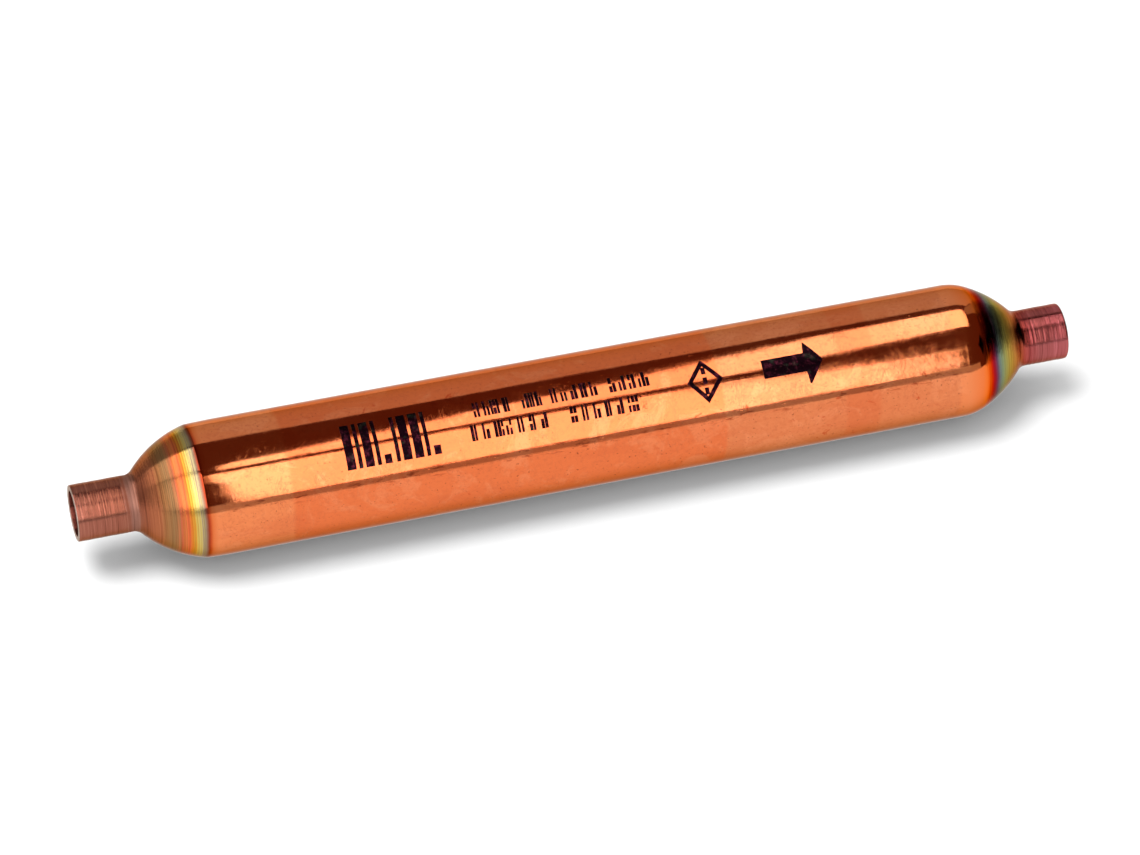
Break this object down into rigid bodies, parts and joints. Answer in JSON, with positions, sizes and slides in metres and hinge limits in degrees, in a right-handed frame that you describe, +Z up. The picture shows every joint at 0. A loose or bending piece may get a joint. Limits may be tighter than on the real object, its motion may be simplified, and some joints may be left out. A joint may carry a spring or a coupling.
{
  "type": "refrigerant filter drier",
  "caption": "Spun-copper filter drier for a small refrigeration circuit: a tube with domed ends and brazing necks, holding wire strainers and a bed of desiccant beads.",
  "frame": {"origin": "on the axis, half-way between the two neck mouths", "axes": "+X along the axis in the direction of flow, from inlet to outlet; +Z up, with the drier lying on its side; +Y completes the set"},
  "size_m": [0.144, 0.019, 0.019],
  "materials": {
    "shell": "polished copper, heat-coloured at the spun ends",
    "inlet_screen_ring": "bright pressed steel",
    "inlet_screen_warp_wires": "drawn stainless wire",
    "inlet_screen_weft_wires": "drawn stainless wire",
    "outlet_screen_ring": "bright pressed steel",
    "outlet_fine_screen": "fine woven stainless cloth",
    "outlet_support_warp_wires": "drawn stainless wire",
    "outlet_support_weft_wires": "drawn stainless wire",
    "desiccant_bed": "dull ceramic-like beads"
  },
  "bodies": {
    "root": {"shell": "shell", "inlet_screen_ring": "inlet_screen_ring", "inlet_screen_warp_wires": "inlet_screen_warp_wires", "inlet_screen_weft_wires": "inlet_screen_weft_wires", "outlet_screen_ring": "outlet_screen_ring", "outlet_fine_screen": "outlet_fine_screen", "outlet_support_warp_wires": "outlet_support_warp_wires", "outlet_support_weft_wires": "outlet_support_weft_wires", "desiccant_bed": "desiccant_bed"}
  },
  "joints": []
}
